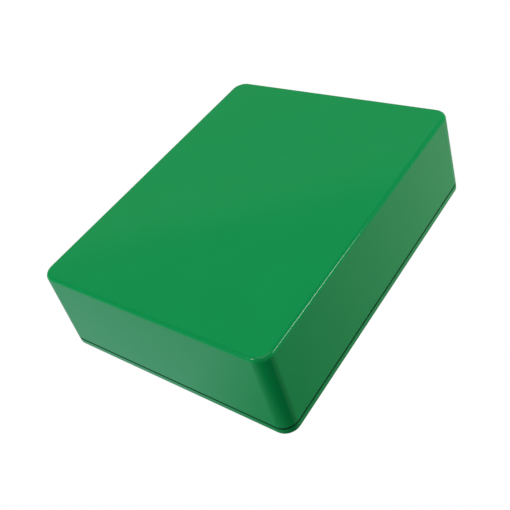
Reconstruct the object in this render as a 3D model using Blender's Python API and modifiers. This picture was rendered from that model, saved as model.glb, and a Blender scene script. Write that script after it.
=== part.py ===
"""Die-cast metal box that stands on its screwed-on base lid.

The box is a tapered casting, open underneath, with a screw boss in each corner. A flat lid closes it
from below: a raised tongue on the lid locates inside the casting's rim, and four countersunk screws
go up through the lid into the bosses. Sizes are in metres. The origin is at the centre of the lid's
underside, +X runs along the length, +Y along the width and +Z up.
"""

import math

import bmesh
import bpy
from mathutils import Matrix

# Driving dimensions of the closed box.
LENGTH = 0.1195
WIDTH = 0.0940
HEIGHT = 0.0330
LID_THICKNESS = 0.0026
SEAM_GAP = 0.0003
FIT_GAP = 0.0005

# The casting.
CORNER_RADIUS = 0.0050
DRAFT_INSET = 0.0012
TOP_FILLET = 0.0013
RIM_ROUNDING = 0.0004
RIM_WALL = 0.0022
ROOF_THICKNESS = 0.0026
CAVITY_CORNER_RADIUS = 0.0030
CAVITY_DRAFT_INSET = 0.0018
CAVITY_FILLET = 0.0016

# The lid.
LID_UNDER_ROUNDING = 0.0005
TONGUE_HEIGHT = 0.0015
TONGUE_WIDTH = 0.0016

# The corner screws and what they pass through. No. 6 countersunk, 32 threads to the inch.
SCREW_INSET = 0.0048
SCREW_LENGTH = 0.0127
SCREW_PITCH = 0.0254 / 32
THREAD_RADIUS = 0.00175
ROOT_RADIUS = 0.00136
HEAD_RADIUS = 0.0032
HEAD_EDGE = 0.0002
HEAD_RECESS = 0.0002
HEAD_HALF_ANGLE = math.radians(41)
BOSS_RIM_RADIUS = 0.0044
BOSS_ROOF_RADIUS = 0.0048
SCREW_HOLE_RADIUS = THREAD_RADIUS + 0.0003
SCREW_HOLE_DEPTH = 0.0150
CROSS_SPAN = 0.0036
CROSS_WIDTH = 0.0010
CROSS_DEPTH = 0.0016
CROSS_SPAN_AT_BOTTOM = 0.0016
CROSS_WIDTH_AT_BOTTOM = 0.0007

RIM_Z = LID_THICKNESS + SEAM_GAP  # where the casting starts
PAST = 0.002  # how far a cutter runs past the face it opens
SHARP_ANGLE = math.radians(30)

SIDES = (("front_left", -1, -1), ("front_right", 1, -1), ("back_left", -1, 1), ("back_right", 1, 1))


def clear_scene():
    for obj in list(bpy.data.objects):
        bpy.data.objects.remove(obj)


def new_collection(name):
    collection = bpy.data.collections.new(name)
    bpy.context.scene.collection.children.link(collection)
    return collection


def new_material(name, colour, roughness, metallic):
    material = bpy.data.materials.new(name)
    material.use_nodes = True
    shader = material.node_tree.nodes["Principled BSDF"]
    shader.inputs["Base Color"].default_value = (*colour, 1.0)
    shader.inputs["Roughness"].default_value = roughness
    shader.inputs["Metallic"].default_value = metallic
    return material


def object_from(name, shape, collection):
    """Puts a bmesh into the scene as an object, smooth except at its sharp edges, and frees it."""
    mesh = bpy.data.meshes.new(name)
    shape.to_mesh(mesh)
    shape.free()
    mesh.shade_smooth()
    mesh.set_sharp_from_angle(angle=SHARP_ANGLE)
    obj = bpy.data.objects.new(name, mesh)
    collection.objects.link(obj)
    return obj


def round_edges(shape, chosen, radius, segments):
    bmesh.ops.bevel(
        shape, geom=chosen, offset=radius, offset_type="OFFSET", segments=segments,
        profile=0.5, affect="EDGES", clamp_overlap=False,
    )


def edges_at(shape, height):
    return [e for e in shape.edges if all(abs(v.co.z - height) < 1e-6 for v in e.verts)]


def upright_edges(shape):
    return [e for e in shape.edges if abs(e.verts[0].co.z - e.verts[1].co.z) > 1e-6]


def tapered_block(length, width, low, high, inset, corner_radius, corner_segments=8):
    """A block from height low to high with round upright corners. Its top is inset all round."""
    shape = bmesh.new()
    bmesh.ops.create_cube(shape, size=1.0)
    bmesh.ops.scale(shape, vec=(length, width, high - low), verts=shape.verts)
    bmesh.ops.translate(shape, vec=(0, 0, (low + high) / 2), verts=shape.verts)
    top = [v for v in shape.verts if v.co.z > (low + high) / 2]
    bmesh.ops.scale(shape, vec=(1 - 2 * inset / length, 1 - 2 * inset / width, 1), verts=top)
    round_edges(shape, upright_edges(shape), corner_radius, corner_segments)
    return shape


def cone(radius_low, radius_high, low, high, at=(0.0, 0.0), segments=32):
    """A closed upright cone or cylinder from height low to high."""
    shape = bmesh.new()
    bmesh.ops.create_cone(
        shape, cap_ends=True, segments=segments, radius1=radius_low, radius2=radius_high,
        depth=high - low, matrix=Matrix.Translation((at[0], at[1], (low + high) / 2)),
    )
    return shape


def boolean(obj, cutter, operation):
    modifier = obj.modifiers.new(f"{operation.lower()}_{cutter.name}", "BOOLEAN")
    modifier.operation = operation
    modifier.solver = "EXACT"
    modifier.object = cutter


def as_cutter(obj):
    obj.hide_render = True
    obj.display_type = "WIRE"
    return obj


def screw_centre(side_x, side_y):
    return side_x * (LENGTH / 2 - SCREW_INSET), side_y * (WIDTH / 2 - SCREW_INSET)


def mouth_size():
    """Length and width of the casting's mouth, inside its rim."""
    return LENGTH - 2 * RIM_WALL, WIDTH - 2 * RIM_WALL


def make_casting(parts, cutters, paint):
    """The tapered body: a block less its cavity, where the cavity leaves four corner bosses standing."""
    body = tapered_block(LENGTH, WIDTH, RIM_Z, HEIGHT, DRAFT_INSET, CORNER_RADIUS)
    round_edges(body, edges_at(body, HEIGHT), TOP_FILLET, 4)
    round_edges(body, edges_at(body, RIM_Z), RIM_ROUNDING, 2)
    casting = object_from("box_casting", body, parts)
    casting.data.materials.append(paint)

    mouth_length, mouth_width = mouth_size()
    roof = HEIGHT - ROOF_THICKNESS
    flare = CAVITY_DRAFT_INSET * PAST / (roof - RIM_Z)
    hollow = tapered_block(
        mouth_length + 2 * flare, mouth_width + 2 * flare, RIM_Z - PAST, roof,
        CAVITY_DRAFT_INSET + flare, CAVITY_CORNER_RADIUS, 4,
    )
    round_edges(hollow, edges_at(hollow, roof), CAVITY_FILLET, 3)
    cavity = as_cutter(object_from("cavity_cutter", hollow, cutters))
    for side, side_x, side_y in SIDES:
        centre = screw_centre(side_x, side_y)
        post = cone(BOSS_RIM_RADIUS, BOSS_ROOF_RADIUS, RIM_Z - 2 * PAST, HEIGHT, centre, 24)
        boolean(cavity, as_cutter(object_from(f"boss_{side}", post, cutters)), "DIFFERENCE")
    boolean(casting, cavity, "DIFFERENCE")

    for side, side_x, side_y in SIDES:
        hole = cone(
            SCREW_HOLE_RADIUS, SCREW_HOLE_RADIUS, RIM_Z - PAST, RIM_Z + SCREW_HOLE_DEPTH,
            screw_centre(side_x, side_y), 24,
        )
        boolean(casting, as_cutter(object_from(f"boss_hole_{side}", hole, cutters)), "DIFFERENCE")
    return casting


def make_lid(parts, cutters, paint):
    """The base lid: a plate, a tongue that stops short of each boss, and four countersunk holes."""
    plate = tapered_block(LENGTH, WIDTH, 0.0, LID_THICKNESS, 0.0, CORNER_RADIUS)
    round_edges(plate, edges_at(plate, 0.0), LID_UNDER_ROUNDING, 3)
    round_edges(plate, edges_at(plate, LID_THICKNESS), RIM_ROUNDING, 2)
    lid = object_from("base_lid", plate, parts)
    lid.data.materials.append(paint)

    mouth_length, mouth_width = mouth_size()
    tongue_length, tongue_width = mouth_length - 2 * FIT_GAP, mouth_width - 2 * FIT_GAP
    tongue_low, tongue_high = LID_THICKNESS / 2, LID_THICKNESS + TONGUE_HEIGHT
    outer = tapered_block(
        tongue_length, tongue_width, tongue_low, tongue_high, 0.0, CAVITY_CORNER_RADIUS - FIT_GAP, 4
    )
    tongue = as_cutter(object_from("tongue_ring", outer, cutters))
    inner = tapered_block(
        tongue_length - 2 * TONGUE_WIDTH, tongue_width - 2 * TONGUE_WIDTH, tongue_low - PAST,
        tongue_high + PAST, 0.0, CAVITY_CORNER_RADIUS - FIT_GAP - TONGUE_WIDTH / 2, 4,
    )
    boolean(tongue, as_cutter(object_from("tongue_inside", inner, cutters)), "DIFFERENCE")
    for side, side_x, side_y in SIDES:
        room = BOSS_RIM_RADIUS + 2 * FIT_GAP
        clearance = cone(
            room, room, tongue_low - PAST, tongue_high + PAST, screw_centre(side_x, side_y), 24
        )
        boolean(tongue, as_cutter(object_from(f"tongue_notch_{side}", clearance, cutters)), "DIFFERENCE")
    boolean(lid, tongue, "UNION")

    sink_radius = HEAD_RADIUS + SEAM_GAP / math.cos(HEAD_HALF_ANGLE)
    sink_slope = math.tan(HEAD_HALF_ANGLE)
    through_radius = THREAD_RADIUS + SEAM_GAP
    sink_low = HEAD_RECESS + HEAD_EDGE - PAST
    sink_high = HEAD_RECESS + HEAD_EDGE + (sink_radius - through_radius) / sink_slope
    for side, side_x, side_y in SIDES:
        centre = screw_centre(side_x, side_y)
        sink = cone(sink_radius + PAST * sink_slope, through_radius, sink_low, sink_high, centre, 32)
        boolean(lid, as_cutter(object_from(f"countersink_{side}", sink, cutters)), "DIFFERENCE")
        through = cone(
            through_radius, through_radius, sink_high - PAST / 4, LID_THICKNESS + PAST, centre, 32
        )
        boolean(lid, as_cutter(object_from(f"through_hole_{side}", through, cutters)), "DIFFERENCE")
    return lid


def screw_profile():
    """The screw's outline beside its axis, from the point at the top down to the head underneath."""
    tip = HEAD_RECESS + SCREW_LENGTH
    neck = HEAD_RECESS + HEAD_EDGE + (HEAD_RADIUS - ROOT_RADIUS) / math.tan(HEAD_HALF_ANGLE)
    points = [(0.0, tip), (ROOT_RADIUS, tip)]
    crest = tip - SCREW_PITCH
    while crest > neck + SCREW_PITCH:
        points.append((THREAD_RADIUS, crest))
        points.append((ROOT_RADIUS, crest - SCREW_PITCH / 2))
        crest -= SCREW_PITCH
    points += [
        (ROOT_RADIUS, neck),
        (HEAD_RADIUS, HEAD_RECESS + HEAD_EDGE),
        (HEAD_RADIUS, HEAD_RECESS),
        (0.0, HEAD_RECESS),
    ]
    return points


def cross_wing(name, centre, angle, cutters):
    """One wing of a screw's cross recess: a wedge that narrows upwards into the head."""
    low, high = HEAD_RECESS, HEAD_RECESS + CROSS_DEPTH
    shape = bmesh.new()
    bmesh.ops.create_cube(shape, size=1.0)
    bmesh.ops.scale(shape, vec=(CROSS_SPAN, CROSS_WIDTH, high - low), verts=shape.verts)
    bmesh.ops.translate(shape, vec=(0, 0, (low + high) / 2), verts=shape.verts)
    bottom = [v for v in shape.verts if v.co.z > (low + high) / 2]
    shrink = (CROSS_SPAN_AT_BOTTOM / CROSS_SPAN, CROSS_WIDTH_AT_BOTTOM / CROSS_WIDTH, 1)
    bmesh.ops.scale(shape, vec=shrink, verts=bottom)
    mouth = [f for f in shape.faces if f.calc_center_median().z < low + PAST / 100]
    run_out = bmesh.ops.extrude_face_region(shape, geom=mouth)
    below = [v for v in run_out["geom"] if isinstance(v, bmesh.types.BMVert)]
    bmesh.ops.translate(shape, vec=(0, 0, -PAST), verts=below)
    bmesh.ops.delete(shape, geom=mouth, context="FACES_ONLY")
    wing = as_cutter(object_from(name, shape, cutters))
    wing.location = (*centre, 0.0)
    wing.rotation_euler.z = angle
    return wing


def make_screw(side, centre, parts, cutters, steel):
    """A countersunk cross-head screw, point up, with its thread as rings at the thread's pitch."""
    profile = bmesh.new()
    verts = [profile.verts.new((radius, 0.0, height)) for radius, height in screw_profile()]
    for upper, lower in zip(verts, verts[1:]):
        profile.edges.new((upper, lower))
    screw = object_from(f"lid_screw_{side}", profile, parts)
    screw.location = (*centre, 0.0)
    screw.data.materials.append(steel)
    turn = screw.modifiers.new("turn", "SCREW")
    turn.axis = "Z"
    turn.angle = 2 * math.pi
    turn.steps = 18
    turn.render_steps = 18
    turn.use_merge_vertices = True
    turn.merge_threshold = 0.00001
    cross = cross_wing(f"cross_{side}", centre, math.pi / 4, cutters)
    boolean(cross, cross_wing(f"cross_arm_{side}", centre, -math.pi / 4, cutters), "UNION")
    boolean(screw, cross, "DIFFERENCE")


def main():
    clear_scene()
    parts = new_collection("die_cast_box")
    cutters = new_collection("cutters")
    paint = new_material("green_powder_coat", (0.013, 0.255, 0.070), 0.25, 0.0)
    steel = new_material("zinc_plated_steel", (0.62, 0.62, 0.60), 0.35, 1.0)
    make_casting(parts, cutters, paint)
    make_lid(parts, cutters, paint)
    for side, side_x, side_y in SIDES:
        make_screw(side, screw_centre(side_x, side_y), parts, cutters, steel)


main()
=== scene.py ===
import math

import bmesh
import bpy
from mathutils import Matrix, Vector


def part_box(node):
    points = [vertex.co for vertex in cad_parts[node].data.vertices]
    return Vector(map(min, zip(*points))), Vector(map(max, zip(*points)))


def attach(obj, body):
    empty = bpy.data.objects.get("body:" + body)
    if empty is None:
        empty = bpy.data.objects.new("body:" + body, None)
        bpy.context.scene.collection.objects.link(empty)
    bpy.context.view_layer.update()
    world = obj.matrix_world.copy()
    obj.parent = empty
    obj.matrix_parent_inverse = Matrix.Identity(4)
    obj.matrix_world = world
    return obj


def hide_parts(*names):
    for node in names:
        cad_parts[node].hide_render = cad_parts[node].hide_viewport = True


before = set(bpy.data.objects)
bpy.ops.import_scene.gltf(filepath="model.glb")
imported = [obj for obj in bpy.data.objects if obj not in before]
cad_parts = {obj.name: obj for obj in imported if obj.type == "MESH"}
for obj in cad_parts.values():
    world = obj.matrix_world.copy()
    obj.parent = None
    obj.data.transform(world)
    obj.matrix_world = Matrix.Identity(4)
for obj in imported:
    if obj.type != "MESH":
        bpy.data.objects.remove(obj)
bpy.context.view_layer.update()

bpy.ops.object.select_all(action="DESELECT")


# ---- The casting -------------------------------------------------------------------------------
# The body of the box: one hollow pressure die casting in aluminium, open underneath. Its walls lean
# in so that it left its die, and a screw post stands in each corner. The outside is powder coated
# gloss green after casting; the inside stays bare, with a little coat blown in past the rim.

casting_low, casting_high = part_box("box_casting")
lid_low, lid_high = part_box("base_lid")
LENGTH = casting_high.x - casting_low.x
WIDTH = casting_high.y - casting_low.y
RIM = casting_low.z
TOP = casting_high.z
CORNER_RADIUS = 0.0050
DRAFT_INSET = 0.0012
TOP_FILLET = 0.0013
RIM_ROUNDING = 0.0004
RIM_WALL = 0.0022
ROOF = TOP - 0.0026
CAVITY_DRAFT_INSET = 0.0018
CAVITY_FILLET = 0.0015
POST_RIM_RADIUS = 0.0044
POST_ROOF_RADIUS = 0.0048
THREAD_RADIUS = 0.00175
THREAD_PITCH = 0.0254 / 32
THREAD_ROOM = 0.0003
HOLE_RADIUS = THREAD_RADIUS + THREAD_ROOM
HOLE_DEPTH = 0.0150
MOUTH_FLARE = 0.0014
MOUTH_BELOW_RIM = 0.0010
MOUTH_ABOVE_RIM = 0.0004
PAST = 0.002  # how far a cutter runs past the face it opens

screw_low, screw_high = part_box("lid_screw_front_left")
SCREW_X = -(screw_low.x + screw_high.x) / 2
SCREW_Y = -(screw_low.y + screw_high.y) / 2
CORNERS = {
    "front_left": (-SCREW_X, -SCREW_Y),
    "front_right": (SCREW_X, -SCREW_Y),
    "back_left": (-SCREW_X, SCREW_Y),
    "back_right": (SCREW_X, SCREW_Y),
}


def block(name, low, high):
    """A plain block between two corners, to shape further."""
    low, high = Vector(low), Vector(high)
    bpy.ops.mesh.primitive_cube_add(size=1, location=(low + high) / 2, scale=high - low)
    bpy.ops.object.transform_apply(location=True, rotation=True, scale=True)
    bpy.context.object.name = name
    return bpy.context.object


def cone(name, foot_radius, head_radius, foot, head, at=(0.0, 0.0), sides=48):
    """An upright cone or cylinder between two heights, to shape further or to cut with."""
    bpy.ops.mesh.primitive_cone_add(
        vertices=sides, radius1=foot_radius, radius2=head_radius, depth=head - foot,
        location=(at[0], at[1], (foot + head) / 2),
    )
    bpy.ops.object.transform_apply(location=True, rotation=True, scale=True)
    bpy.context.object.name = name
    return bpy.context.object


def pick(piece, kind, wanted):
    """In edit mode, selects only the piece's verts, edges or faces that are wanted."""
    bpy.ops.mesh.select_mode(type=kind)
    bpy.ops.mesh.select_all(action="DESELECT")
    shape = bmesh.from_edit_mesh(piece.data)
    for item in {"VERT": shape.verts, "EDGE": shape.edges, "FACE": shape.faces}[kind]:
        if wanted(item):
            item.select_set(True)
    bmesh.update_edit_mesh(piece.data)


def level(edge, height):
    return all(abs(v.co.z - height) < 1e-6 for v in edge.verts)


def upright(edge):
    return abs(edge.verts[0].co.z - edge.verts[1].co.z) > 1e-6


def lean_in(piece, inset_x, inset_y):
    """Brings the top of a block in by an inset on each side, as draft."""
    size, top = piece.dimensions.copy(), max(v.co.z for v in piece.data.vertices)
    bpy.ops.object.mode_set(mode="EDIT")
    pick(piece, "FACE", lambda face: face.normal.z > 0.9)
    bpy.ops.transform.resize(
        value=(1 - 2 * inset_x / size.x, 1 - 2 * inset_y / size.y, 1), center_override=(0, 0, top)
    )
    bpy.ops.object.mode_set(mode="OBJECT")


def round_edges(piece, wanted, radius, segments):
    bpy.ops.object.mode_set(mode="EDIT")
    pick(piece, "EDGE", wanted)
    bpy.ops.mesh.bevel(offset=radius, segments=segments)
    bpy.ops.object.mode_set(mode="OBJECT")


def join(piece, tool, operation):
    """Cuts the tool out of the piece, or unites them, and removes the tool."""
    step = piece.modifiers.new(operation.lower(), "BOOLEAN")
    step.operation = operation
    step.object = tool
    bpy.context.view_layer.objects.active = piece
    bpy.ops.object.modifier_apply(modifier=step.name)
    bpy.data.objects.remove(tool)


def finish_surface(piece, sharp_angle=32):
    """Smooths the rounded edges, and keeps the flats flat up to them."""
    bpy.ops.object.select_all(action="DESELECT")
    piece.select_set(True)
    bpy.context.view_layer.objects.active = piece
    bpy.ops.object.shade_smooth_by_angle(angle=math.radians(sharp_angle))
    flats = piece.modifiers.new("flats", "WEIGHTED_NORMAL")
    flats.keep_sharp = True
    bpy.ops.object.modifier_apply(modifier=flats.name)


casting = block("casting", (casting_low.x, casting_low.y, RIM), casting_high)
lean_in(casting, DRAFT_INSET, DRAFT_INSET)
round_edges(casting, upright, CORNER_RADIUS, 20)
round_edges(casting, lambda edge: level(edge, TOP), TOP_FILLET, 8)
round_edges(casting, lambda edge: level(edge, RIM), RIM_ROUNDING, 4)

flare = CAVITY_DRAFT_INSET * 2 * PAST / (ROOF - RIM)
mouth_x, mouth_y = LENGTH / 2 - RIM_WALL, WIDTH / 2 - RIM_WALL
cavity = block(
    "cavity", (-mouth_x - flare, -mouth_y - flare, RIM - 2 * PAST), (mouth_x + flare, mouth_y + flare, ROOF)
)
lean_in(cavity, CAVITY_DRAFT_INSET + flare, CAVITY_DRAFT_INSET + flare)
for at in CORNERS.values():
    join(cavity, cone("post", POST_RIM_RADIUS, POST_ROOF_RADIUS, RIM - 3 * PAST, TOP, at), "DIFFERENCE")
soften = cavity.modifiers.new("soften", "BEVEL")
soften.width = CAVITY_FILLET
soften.segments = 4
soften.limit_method = "ANGLE"
soften.angle_limit = math.radians(30)
bpy.context.view_layer.objects.active = cavity
bpy.ops.object.modifier_apply(modifier=soften.name)
join(casting, cavity, "DIFFERENCE")
for at in CORNERS.values():
    join(casting, cone("hole", HOLE_RADIUS, HOLE_RADIUS, RIM - PAST, RIM + HOLE_DEPTH, at), "DIFFERENCE")
for at in CORNERS.values():
    mouth_foot, mouth_end = RIM - MOUTH_BELOW_RIM, RIM + MOUTH_ABOVE_RIM
    mouth = cone("hole_mouth", HOLE_RADIUS + MOUTH_FLARE, HOLE_RADIUS, mouth_foot, mouth_end, at)
    join(casting, mouth, "DIFFERENCE")

# The pins that push the casting out of its die leave shallow round marks inside the roof.
EJECTOR_RADIUS = 0.0030
EJECTOR_DEPTH = 0.00012
for x, y in ((-40, -26), (0, -26), (40, -26), (-40, 26), (0, 26), (40, 26)):
    at = (x / 1000, y / 1000)
    pin_mark = cone("pin_mark", EJECTOR_RADIUS, EJECTOR_RADIUS, ROOF - PAST, ROOF + EJECTOR_DEPTH, at)
    join(casting, pin_mark, "DIFFERENCE")
finish_surface(casting)


def srgb(colour):
    """A #rrggbb colour as linear red, green, blue and alpha."""
    parts = [int(colour[i:i + 2], 16) / 255 for i in (1, 3, 5)]
    return [p / 12.92 if p <= 0.04045 else ((p + 0.055) / 1.055) ** 2.4 for p in parts] + [1.0]


def new_material(name):
    """A named material, its node tree and its Principled shader."""
    material = bpy.data.materials.new(name)
    material.use_nodes = True
    return material, material.node_tree, material.node_tree.nodes["Principled BSDF"]


def node(tree, kind, settings=None, links=None):
    """Adds a node with its settings, its sockets' values and the sockets that feed it."""
    made = tree.nodes.new(kind)
    for key, value in (settings or {}).items():
        if isinstance(key, str) and hasattr(made, key):
            setattr(made, key, value)
        else:
            made.inputs[key].default_value = value
    for socket, source in (links or {}).items():
        tree.links.new(source, made.inputs[socket])
    return made


# Gloss powder coat: polyester powder baked to one glassy skin of about 0.08 mm. It levels less than
# wet paint, so the gloss carries a shallow orange peel about 1.5 mm across and finer pimples in it.
CLOUD_WIDTH = 0.018
PEEL_WIDTH = 0.0015
PEEL_HEIGHT = 0.000012
PIMPLE_WIDTH = 0.00035
PIMPLE_HEIGHT = 0.000002
powder_coat, tree, shader = new_material("gloss_green_powder_coat")
place = node(tree, "ShaderNodeTexCoord").outputs["Object"]
cloud = node(tree, "ShaderNodeTexNoise", {
    "Scale": 1 / CLOUD_WIDTH, "Detail": 3.0, "Roughness": 0.5,
}, {"Vector": place})
tint = node(tree, "ShaderNodeMix", {
    "data_type": "RGBA", 6: srgb("#098745"), 7: srgb("#0b8b49"),
}, {0: cloud.outputs["Fac"]})
gloss = node(tree, "ShaderNodeMapRange", {"To Min": 0.08, "To Max": 0.13}, {"Value": cloud.outputs["Fac"]})
peel = node(tree, "ShaderNodeTexNoise", {
    "Scale": 1 / PEEL_WIDTH, "Detail": 1.5, "Roughness": 0.45,
}, {"Vector": place})
pimples = node(tree, "ShaderNodeTexNoise", {"Scale": 1 / PIMPLE_WIDTH, "Detail": 1.0}, {"Vector": place})
peel_bump = node(tree, "ShaderNodeBump", {
    "Strength": 1.0, "Distance": PEEL_HEIGHT,
}, {"Height": peel.outputs["Fac"]})
bump = node(
    tree, "ShaderNodeBump", {"Strength": 1.0, "Distance": PIMPLE_HEIGHT},
    {"Height": pimples.outputs["Fac"], "Normal": peel_bump.outputs["Normal"]},
)
shader.inputs["IOR"].default_value = 1.45
tree.links.new(tint.outputs[2], shader.inputs["Base Color"])
tree.links.new(gloss.outputs["Result"], shader.inputs["Roughness"])
tree.links.new(bump.outputs["Normal"], shader.inputs["Normal"])


FLOW_WIDTH = 0.012
POWDER_DOT = 0.0007
SKIN_GRAIN = 0.0004
SKIN_HEIGHT = 0.000025


def bare_inside(name, edge_x, edge_y, reach):
    """Bare die-cast aluminium, dull grey with cloudy flow marks from the metal chilling in the die.
    Green powder has blown in from the edge at edge_x and edge_y, and thins out over its reach."""
    material, tree, shader = new_material(name)
    place = node(tree, "ShaderNodeTexCoord").outputs["Object"]
    flow = node(tree, "ShaderNodeTexNoise", {
        "Scale": 1 / FLOW_WIDTH, "Detail": 6.0, "Roughness": 0.6, "Distortion": 1.2,
    }, {"Vector": place})
    metal = node(tree, "ShaderNodeMix", {
        "data_type": "RGBA", 6: srgb("#8d9092"), 7: srgb("#b9bbbb"),
    }, {0: flow.outputs["Fac"]})
    axes = node(tree, "ShaderNodeSeparateXYZ", links={0: place})
    side_x = node(tree, "ShaderNodeMath", {"operation": "ABSOLUTE"}, {0: axes.outputs["X"]})
    side_y = node(tree, "ShaderNodeMath", {"operation": "ABSOLUTE"}, {0: axes.outputs["Y"]})
    past_x = node(tree, "ShaderNodeMath", {"operation": "SUBTRACT", 1: edge_x}, {0: side_x.outputs[0]})
    past_y = node(tree, "ShaderNodeMath", {"operation": "SUBTRACT", 1: edge_y}, {0: side_y.outputs[0]})
    outer = node(tree, "ShaderNodeMath", {"operation": "MAXIMUM"}, {
        0: past_x.outputs[0], 1: past_y.outputs[0],
    })
    height = node(tree, "ShaderNodeMath", {"operation": "SUBTRACT", 1: RIM}, {0: axes.outputs["Z"]})
    deep = node(tree, "ShaderNodeMath", {"operation": "SUBTRACT"}, {
        0: outer.outputs[0], 1: height.outputs[0],
    })
    dust = node(tree, "ShaderNodeTexNoise", {"Scale": 1 / POWDER_DOT, "Detail": 4.0}, {"Vector": place})
    edge = node(tree, "ShaderNodeMapRange", {
        "interpolation_type": "SMOOTHSTEP", "From Min": -reach, "From Max": 0.0,
    }, {"Value": deep.outputs[0]})
    grain = node(tree, "ShaderNodeMath", {"operation": "SUBTRACT"}, {
        0: edge.outputs["Result"], 1: dust.outputs["Fac"],
    })
    powder = node(tree, "ShaderNodeMapRange", {
        "From Min": -0.15, "From Max": 0.25,
    }, {"Value": grain.outputs[0]})
    colour = node(tree, "ShaderNodeMix", {"data_type": "RGBA", 7: srgb("#0a8a49")}, {
        0: powder.outputs["Result"], 6: metal.outputs[2],
    })
    metallic = node(tree, "ShaderNodeMath", {
        "operation": "SUBTRACT", 0: 1.0,
    }, {1: powder.outputs["Result"]})
    rough = node(tree, "ShaderNodeMapRange", {
        "To Min": 0.62, "To Max": 0.40,
    }, {"Value": flow.outputs["Fac"]})
    skin = node(tree, "ShaderNodeTexNoise", {"Scale": 1 / SKIN_GRAIN, "Detail": 3.0}, {"Vector": place})
    bump = node(tree, "ShaderNodeBump", {
        "Strength": 1.0, "Distance": SKIN_HEIGHT,
    }, {"Height": skin.outputs["Fac"]})
    tree.links.new(colour.outputs[2], shader.inputs["Base Color"])
    tree.links.new(metallic.outputs[0], shader.inputs["Metallic"])
    tree.links.new(rough.outputs["Result"], shader.inputs["Roughness"])
    tree.links.new(bump.outputs["Normal"], shader.inputs["Normal"])
    return material


# The coat covers every face that the spray gun saw: those that look outwards, but not inside a hole.
def in_a_hole(face):
    return any((face.center.xy - Vector(at)).length < HOLE_RADIUS + 0.0005 for at in CORNERS.values())


def sprayed(face):
    beside = abs(face.center.x) > mouth_x - 0.002 or abs(face.center.y) > mouth_y - 0.002
    looks_out = face.normal.xy.dot(face.center.xy) > 0
    on_wall = beside and looks_out and face.normal.z > -0.9 and not in_a_hole(face)
    return face.center.z > ROOF + 0.001 or on_wall


# On the faces where lid and casting meet, the colour is a dark dull green painted in as the shade of the
# seam's gap.
# This makes the seam a dark line. It is mottled in patches about 2.5 mm across.
PATCH_WIDTH = 0.0025
PATCH_HEIGHT = 0.00001
seam_shade_coat, tree, shader = new_material("painted_seam_shade_dark_green")
place = node(tree, "ShaderNodeTexCoord").outputs["Object"]
patches = node(tree, "ShaderNodeTexNoise", {"Scale": 1 / PATCH_WIDTH, "Detail": 4.0}, {"Vector": place})
colour = node(tree, "ShaderNodeMix", {
    "data_type": "RGBA", 6: srgb("#06341e"), 7: srgb("#084427"),
}, {0: patches.outputs["Fac"]})
bump = node(tree, "ShaderNodeBump", {
    "Strength": 1.0, "Distance": PATCH_HEIGHT,
}, {"Height": patches.outputs["Fac"]})
shader.inputs["Roughness"].default_value = 0.6
shader.inputs["Specular IOR Level"].default_value = 0.2
tree.links.new(colour.outputs[2], shader.inputs["Base Color"])
tree.links.new(bump.outputs["Normal"], shader.inputs["Normal"])


def on_rim(face):
    faces_down = face.normal.z < -0.45 and face.center.z < RIM + RIM_ROUNDING
    return faces_down and (abs(face.center.x) > mouth_x or abs(face.center.y) > mouth_y)


casting.data.materials.append(powder_coat)
POWDER_REACH = 0.009
inside = bare_inside("bare_die_cast_aluminium_inside", mouth_x, mouth_y, POWDER_REACH)
casting.data.materials.append(inside)
casting.data.materials.append(seam_shade_coat)
# Index 2 is the painted seam shade, on the rim faces that look down into the seam.
for face in casting.data.polygons:
    face.material_index = 2 if on_rim(face) else 0 if sprayed(face) else 1

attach(casting, "casting")
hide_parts("box_casting")


# ---- The lid -----------------------------------------------------------------------------------
# A flat die-cast plate that closes the box from below. A tongue on its inner face sits just inside
# the casting's rim and stops short of each screw post. Coated gloss green outside, bare inside.

SEAM_GAP = 0.0003
LID_FACE = RIM - SEAM_GAP
UNDER_ROUNDING = 0.0005
TONGUE_GAP = 0.0005
TONGUE_WIDTH = 0.0016
TONGUE_ROUNDING = 0.0003
HEAD_RECESS = 0.0002
HEAD_EDGE = 0.0002
HEAD_RADIUS = 0.0032
HEAD_HALF_ANGLE = math.radians(41)

lid = block("lid", lid_low, (lid_high.x, lid_high.y, LID_FACE))
round_edges(lid, upright, CORNER_RADIUS, 20)
round_edges(lid, lambda edge: level(edge, lid_low.z), UNDER_ROUNDING, 5)
round_edges(lid, lambda edge: level(edge, LID_FACE), RIM_ROUNDING, 4)

tongue_x, tongue_y = mouth_x - TONGUE_GAP, mouth_y - TONGUE_GAP
inner_x, inner_y = tongue_x - TONGUE_WIDTH, tongue_y - TONGUE_WIDTH
tongue = block("tongue", (-tongue_x, -tongue_y, LID_FACE / 2), (tongue_x, tongue_y, lid_high.z))
tongue_inside = block("tongue_inside", (-inner_x, -inner_y, -PAST), (inner_x, inner_y, lid_high.z + PAST))
join(tongue, tongue_inside, "DIFFERENCE")
for at in CORNERS.values():
    room = POST_RIM_RADIUS + 2 * TONGUE_GAP
    join(tongue, cone("post_room", room, room, -PAST, lid_high.z + PAST, at, 64), "DIFFERENCE")
round_edges(tongue, lambda edge: level(edge, lid_high.z), TONGUE_ROUNDING, 3)
join(lid, tongue, "UNION")

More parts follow.
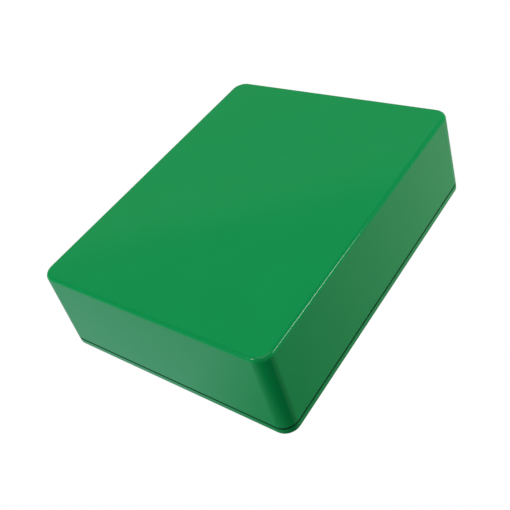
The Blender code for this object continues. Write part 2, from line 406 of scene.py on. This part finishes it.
# Each screw hole is countersunk to the head's own angle, with 0.3 mm of room round the head.
sink_slope = math.tan(HEAD_HALF_ANGLE)
sink_radius = HEAD_RADIUS + SEAM_GAP / math.cos(HEAD_HALF_ANGLE)
through_radius = THREAD_RADIUS + SEAM_GAP
sink_foot = HEAD_RECESS + HEAD_EDGE - PAST
sink_end = HEAD_RECESS + HEAD_EDGE + (sink_radius - through_radius) / sink_slope
for at in CORNERS.values():
    sink = cone("sink", sink_radius + PAST * sink_slope, through_radius, sink_foot, sink_end, at, 64)
    join(lid, sink, "DIFFERENCE")
    through = cone("through", through_radius, through_radius, sink_end - PAST / 4, LID_FACE + PAST, at, 64)
    join(lid, through, "DIFFERENCE")
for x, y in ((-40, -26), (40, -26), (-40, 26), (40, 26)):
    at = (x / 1000, y / 1000)
    pin_foot = LID_FACE - EJECTOR_DEPTH
    pin_mark = cone("pin_mark", EJECTOR_RADIUS, EJECTOR_RADIUS, pin_foot, LID_FACE + PAST, at)
    join(lid, pin_mark, "DIFFERENCE")
finish_surface(lid)

lid.data.materials.append(powder_coat)
LID_POWDER_REACH = 0.006
lid_face = bare_inside("bare_die_cast_aluminium_lid_face", LENGTH / 2, WIDTH / 2, LID_POWDER_REACH)
lid.data.materials.append(lid_face)
lid.data.materials.append(seam_shade_coat)
# Index 2 is the painted seam shade, on the mating faces beyond the tongue that look up into the seam.
for face in lid.data.polygons:
    inner_face = face.normal.z > 0.9 and abs(face.center.x) < mouth_x + RIM_WALL / 2
    on_tongue = face.center.z > LID_FACE + 0.00001
    upright_face = abs(face.normal.z) < 0.1
    in_hole = upright_face and face.center.z > sink_end - PAST / 4 and abs(face.center.x) < SCREW_X + 0.003
    beyond_tongue = abs(face.center.x) > tongue_x or abs(face.center.y) > tongue_y
    on_mating_face = face.normal.z > 0.45 and beyond_tongue and face.center.z > LID_FACE - RIM_ROUNDING
    face.material_index = 2 if on_mating_face else 1 if inner_face or on_tongue or in_hole else 0

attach(lid, "lid")
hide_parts("base_lid")


# ---- The screws --------------------------------------------------------------------------------
# Four countersunk cross-head screws, cold headed and thread rolled from steel wire and bright zinc
# plated. They go up through the lid into the posts, whose plain holes clear the thread.

ROOT_RADIUS = 0.00136
TIP = screw_high.z
TIP_CHAMFER = 0.0004
TIP_TAPER = 0.75
HEAD_EDGE_LEAN = 0.00008
HEAD_RIM_ROUNDING = 0.00006
head_foot = screw_low.z
neck = head_foot + HEAD_EDGE + (HEAD_RADIUS - ROOT_RADIUS) / sink_slope


def pull_up(piece, rise, scale):
    """Extrudes the piece's top face upwards and scales it there."""
    height = max(v.co.z for v in piece.data.vertices)
    bpy.ops.object.mode_set(mode="EDIT")
    pick(piece, "FACE", lambda face:
         face.normal.z > 0.9 and abs(face.calc_center_median().z - height) < 1e-6)
    bpy.ops.mesh.extrude_region_move(TRANSFORM_OT_translate={"value": (0, 0, rise)})
    bpy.ops.transform.resize(value=(scale, scale, 1), center_override=(0, 0, height + rise))
    bpy.ops.object.mode_set(mode="OBJECT")


screw = cone(
    "lid_screw", HEAD_RADIUS - HEAD_EDGE_LEAN, HEAD_RADIUS, head_foot, head_foot + HEAD_EDGE, sides=64
)
pull_up(screw, neck - head_foot - HEAD_EDGE, ROOT_RADIUS / HEAD_RADIUS)
pull_up(screw, TIP - TIP_CHAMFER - neck, 1.0)
pull_up(screw, TIP_CHAMFER, TIP_TAPER)

# The rolled thread: a ridge of 60 degree section wound up the shank at 32 turns to the inch.
ridge_side = 0.92 * THREAD_PITCH
ridge_radius = ridge_side / math.sqrt(3)
turns = math.floor((TIP - TIP_CHAMFER - neck - THREAD_PITCH) / THREAD_PITCH)
bpy.ops.mesh.primitive_circle_add(
    vertices=3, radius=ridge_radius, location=(THREAD_RADIUS - ridge_radius, 0, neck + THREAD_PITCH / 2),
    rotation=(math.pi / 2, math.pi / 2, 0),
)
bpy.ops.object.transform_apply(location=True, rotation=True, scale=True)
ridge = bpy.context.object
wind = ridge.modifiers.new("wind", "SCREW")
wind.axis = "Z"
wind.steps = wind.render_steps = 36
wind.iterations = turns
wind.screw_offset = THREAD_PITCH
wind.use_merge_vertices = True
wind.merge_threshold = 0.000001
bpy.ops.object.modifier_apply(modifier=wind.name)
bpy.ops.object.mode_set(mode="EDIT")
bpy.ops.mesh.select_all(action="DESELECT")
bpy.ops.mesh.select_mode(type="EDGE")
bpy.ops.mesh.select_non_manifold()
bpy.ops.mesh.edge_face_add()
bpy.ops.mesh.select_all(action="SELECT")
bpy.ops.mesh.normals_make_consistent(inside=False)
bpy.ops.object.mode_set(mode="OBJECT")
join(screw, ridge, "UNION")

# The cross recess: four tapering wings round a conical middle.
CROSS_SPAN = 0.0036
CROSS_WIDTH = 0.0009
CROSS_DEPTH = 0.0016
CROSS_BOTTOM = 0.0017
cross = cone("cross", 0.00095, 0.00045, head_foot - PAST / 4, head_foot + CROSS_DEPTH + 0.0001, sides=24)
for along_x in (True, False):
    span, width = CROSS_SPAN / 2, CROSS_WIDTH / 2
    half_x, half_y = (span, width) if along_x else (width, span)
    wing_low = (-half_x, -half_y, head_foot - PAST / 4)
    wing = block("wing", wing_low, (half_x, half_y, head_foot + CROSS_DEPTH))
    pinch = (CROSS_SPAN - CROSS_BOTTOM) / 2
    lean_in(wing, pinch if along_x else CROSS_WIDTH / 8, CROSS_WIDTH / 8 if along_x else pinch)
    join(cross, wing, "UNION")
join(screw, cross, "DIFFERENCE")


def head_rim(edge):
    return level(edge, head_foot) and all(v.co.xy.length > HEAD_RADIUS * 0.9 for v in edge.verts)


round_edges(screw, head_rim, HEAD_RIM_ROUNDING, 2)
finish_surface(screw, 40)

# Turning marks on the head follow rings round the screw's own axis, so each point keeps its distance.
ring = screw.data.attributes.new("from_axis", "FLOAT", "POINT")
for point, vertex in zip(ring.data, screw.data.vertices):
    point.value = vertex.co.xy.length

# Bright zinc plate on steel: silvery with a faint blue passivation, slightly uneven, finely ringed.
PLATING_PATCH = 0.0012
RING_SPACING = 0.00012
RING_HEIGHT = 0.000002
zinc, tree, shader = new_material("bright_zinc_plated_steel")
place = node(tree, "ShaderNodeTexCoord").outputs["Object"]
plating = node(tree, "ShaderNodeTexNoise", {"Scale": 1 / PLATING_PATCH, "Detail": 4.0}, {"Vector": place})
colour = node(tree, "ShaderNodeMix", {
    "data_type": "RGBA", 6: srgb("#b4b8bf"), 7: srgb("#d3d4d2"),
}, {0: plating.outputs["Fac"]})
rough = node(tree, "ShaderNodeMapRange", {
    "To Min": 0.22, "To Max": 0.42,
}, {"Value": plating.outputs["Fac"]})
from_axis = node(tree, "ShaderNodeAttribute", {"attribute_name": "from_axis"})
rings = node(tree, "ShaderNodeMath", {"operation": "SINE"}, {
    0: node(tree, "ShaderNodeMath", {"operation": "MULTIPLY", 1: 2 * math.pi / RING_SPACING}, {
        0: from_axis.outputs["Fac"],
    }).outputs[0],
})
bump = node(tree, "ShaderNodeBump", {"Strength": 1.0, "Distance": RING_HEIGHT}, {"Height": rings.outputs[0]})
shader.inputs["Metallic"].default_value = 1.0
tree.links.new(colour.outputs[2], shader.inputs["Base Color"])
tree.links.new(rough.outputs["Result"], shader.inputs["Roughness"])
tree.links.new(bump.outputs["Normal"], shader.inputs["Normal"])
screw.data.materials.append(zinc)

# No two screws stop at the same angle when they are driven home.
for corner, stop_angle in (("front_left", 20), ("front_right", 65), ("back_left", 48), ("back_right", 5)):
    driven = screw.copy()
    driven.data = screw.data.copy()
    driven.name = f"screw_{corner}"
    bpy.context.collection.objects.link(driven)
    bpy.ops.object.select_all(action="DESELECT")
    driven.select_set(True)
    bpy.context.view_layer.objects.active = driven
    driven.rotation_euler.z = math.radians(stop_angle)
    driven.location = (*CORNERS[corner], 0)
    bpy.ops.object.transform_apply(location=True, rotation=True, scale=True)
    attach(driven, f"screw_{corner}")
    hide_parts(f"lid_screw_{corner}")
bpy.data.objects.remove(screw)


# ---- The floor, the camera and the lights ------------------------------------------------------
# A seamless white floor and cove, plain white, which only the camera sees. The box itself stands on
# a black cloth between two dim light panels, with softboxes behind it and at its sides.

def glowing(name, colour, strength):
    material, tree, shader = new_material(name)
    shader.inputs["Base Color"].default_value = srgb("#000000")
    shader.inputs["Specular IOR Level"].default_value = 0.0
    shader.inputs["Emission Color"].default_value = srgb(colour)
    shader.inputs["Emission Strength"].default_value = strength
    return material


def seen_only_by_camera(thing):
    thing.visible_diffuse = thing.visible_glossy = thing.visible_transmission = False
    thing.visible_volume_scatter = thing.visible_shadow = False


white_cove = glowing("white_cove", "#ffffff", 1.0)
FLOOR_LEVEL = lid_low.z - 0.00005
bpy.ops.mesh.primitive_plane_add(size=6, location=(0, 0, FLOOR_LEVEL))
floor = bpy.context.object
floor.name = "floor"
bpy.ops.mesh.primitive_uv_sphere_add(segments=32, ring_count=16, radius=5)
cove = bpy.context.object
cove.name = "cove"
for surround in (floor, cove):
    surround.data.materials.append(white_cove)
    seen_only_by_camera(surround)

# The table is covered in black cloth. On it lie two dim light panels that the side walls look down
# on: one along the left wall, one along the right. Both get dimmer towards the near corner.
bpy.ops.mesh.primitive_plane_add(size=3, location=(0, 0, FLOOR_LEVEL - 0.0001))
table = bpy.context.object
table.name = "table"
cloth, tree, shader = new_material("black_cloth")
shader.inputs["Base Color"].default_value = srgb("#0c0c0c")
shader.inputs["Roughness"].default_value = 1.0
shader.inputs["Specular IOR Level"].default_value = 0.0
table.data.materials.append(cloth)
table.visible_camera = False


def light_panel(name, low, high, axis, dark_at, bright_at, colour, start, end):
    """A glowing panel lying on the table, that brightens along one axis."""
    bpy.ops.mesh.primitive_plane_add(
        size=1, location=((low[0] + high[0]) / 2, (low[1] + high[1]) / 2, FLOOR_LEVEL)
    )
    panel = bpy.context.object
    panel.name = name
    panel.scale = (high[0] - low[0], high[1] - low[1], 1)
    bpy.ops.object.transform_apply(location=True, rotation=True, scale=True)
    glow = glowing(name, colour, 0.0)
    tree = glow.node_tree
    shader = tree.nodes["Principled BSDF"]
    place = node(tree, "ShaderNodeTexCoord").outputs["Object"]
    axes = node(tree, "ShaderNodeSeparateXYZ", links={0: place})
    fade = node(tree, "ShaderNodeMapRange", {
        "From Min": dark_at, "From Max": bright_at, "To Min": start, "To Max": end,
    }, {"Value": axes.outputs[axis]})
    tree.links.new(fade.outputs["Result"], shader.inputs["Emission Strength"])
    panel.data.materials.append(glow)
    panel.visible_camera = False


edge_x, edge_y = LENGTH / 2, WIDTH / 2
light_panel(
    "left_panel", (-0.26, -edge_y - 0.006), (-edge_x, 0.26), "Y", -0.053, -0.003, "#dcdeff", 0.0, 0.54
)
light_panel(
    "right_panel", (-edge_x + 0.003, -0.26), (0.26, -edge_y), "X", -0.055, 0.075, "#ffffff", 0.11, 0.44
)

bpy.ops.object.camera_add(
    location=(-0.13406, -0.13957, 0.17713),
    rotation=(math.radians(46.70), math.radians(14.28), math.radians(-55.44)),
)
camera = bpy.context.object
camera.data.lens = 50.63
camera.data.sensor_width = 36
camera.data.clip_start = 0.01
bpy.context.scene.camera = camera


def softbox(name, azimuths, elevations, distance, radiance):
    """A rectangular light, from its edges' directions round and above the box, in degrees."""
    azimuth = math.radians(sum(azimuths) / 2)
    elevation = math.radians(sum(elevations) / 2)
    half_width = math.radians(azimuths[1] - azimuths[0]) / 2 * math.cos(elevation)
    half_height = math.radians(elevations[1] - elevations[0]) / 2
    bpy.ops.object.light_add(
        type="AREA", rotation=(math.pi / 2 - elevation, 0, azimuth + math.pi / 2),
        location=(
            distance * math.cos(elevation) * math.cos(azimuth),
            distance * math.cos(elevation) * math.sin(azimuth),
            distance * math.sin(elevation),
        ),
    )
    light = bpy.context.object
    light.name = name
    light.data.shape = "RECTANGLE"
    light.data.size = 2 * distance * math.tan(half_width)
    light.data.size_y = 2 * distance * math.tan(half_height)
    light.data.energy = radiance * math.pi * light.data.size * light.data.size_y


# Four large softboxes give the even light. Grazing from behind, they light the top and the walls,
# and leave the near corner and the front rounding darker. They don't show in the gloss.
softbox("left_rear", (86, 118), (2, 32), 1.0, 13.5)
softbox("right_rear", (-30, -6), (2, 32), 1.0, 15.2)
softbox("right_side", (-50, -30), (2, 32), 1.0, 8.6)
softbox("left_side", (165, 190), (2, 25), 1.0, 9.8)
for name in ("left_rear", "right_rear", "right_side", "left_side"):
    bpy.data.objects[name].visible_glossy = False

# One soft light straight above evens out the top.
bpy.ops.object.light_add(type="AREA", location=(0, 0, 0.9))
overhead = bpy.context.object
overhead.name = "overhead"
overhead.data.shape = "SQUARE"
overhead.data.size = 0.6
OVERHEAD_WATTS = 0.75
overhead.data.energy = OVERHEAD_WATTS

# The lights that show in the gloss: a strip for the right edge, a spot, and a dim wall behind.
softbox("edge_strip", (-66, -50), (25, 39), 1.0, 7.5)
softbox("corner_spot", (143, 163), (38, 56), 1.0, 6.0)
softbox("backdrop_low", (-5, 80), (26, 40), 1.2, 0.125)
softbox("backdrop", (-5, 80), (36, 56), 1.2, 0.05)

world = bpy.data.worlds.new("studio")
world.use_nodes = True
world.node_tree.nodes["Background"].inputs["Color"].default_value = (1, 1, 1, 1)
world.node_tree.nodes["Background"].inputs["Strength"].default_value = 0.06
bpy.context.scene.world = world
bpy.context.scene.view_settings.view_transform = "Standard"
